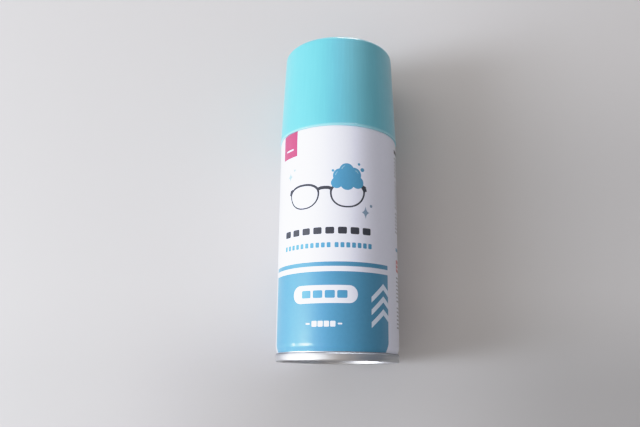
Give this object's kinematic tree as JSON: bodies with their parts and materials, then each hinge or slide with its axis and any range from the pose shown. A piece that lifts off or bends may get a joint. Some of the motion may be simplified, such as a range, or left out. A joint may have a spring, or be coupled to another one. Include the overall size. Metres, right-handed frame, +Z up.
{
  "type": "foam spray can",
  "caption": "Small round aerosol can for eyeglass cleaning foam, with double-seamed ends, a crimped valve, a turning push button and a full-diameter lift-off overcap.",
  "frame": {"origin": "centre of the base rim's plane, on the can's axis", "axes": "+Z up the can's axis towards the overcap; -Y is the front of the printed sleeve and the way the button's spout points at rest"},
  "size_m": [0.0461, 0.046, 0.1219],
  "materials": {
    "tinplate": "satin",
    "end_plate": "satin",
    "seam_compound": "matte",
    "gasket_rubber": "matte",
    "valve_plastic": "satin",
    "spring_steel": "satin",
    "tube_plastic": "satin",
    "printed_film": "gloss",
    "liquid": "gloss",
    "button_plastic": "satin",
    "insert_plastic": "satin",
    "cap_plastic": "satin"
  },
  "bodies": {
    "can": {"can_body": "tinplate", "bottom_dome": "end_plate", "top_cone": "end_plate", "top_seam_compound": "seam_compound", "bottom_seam_compound": "seam_compound", "mounting_cup": "end_plate", "cup_gasket": "gasket_rubber", "stem_gasket": "gasket_rubber", "valve_housing": "valve_plastic", "valve_spring": "spring_steel", "dip_tube": "tube_plastic", "shrink_label": "printed_film", "liquid_fill": "liquid"},
    "stem": {"valve_stem": "valve_plastic"},
    "button": {"actuator": "button_plastic", "nozzle_insert": "insert_plastic"},
    "cap": {"overcap": "cap_plastic"}
  },
  "joints": [
    {"name": "cap_lift", "type": "slide", "parent": "can", "child": "cap", "axis": [0, 0, 1], "range_m": [0, 0.045]},
    {"name": "stem_press", "type": "slide", "parent": "can", "child": "stem", "axis": [0, 0, -1], "range_m": [0, 0.0015], "stiffness_N_per_m": 1500, "springref_m": -0.004, "deforming": ["valve_spring"]},
    {"name": "button_turn", "type": "hinge", "parent": "stem", "child": "button", "pos_m": [0, 0, 0.1038], "axis": [0, 0, 1], "continuous": true}
  ]
}
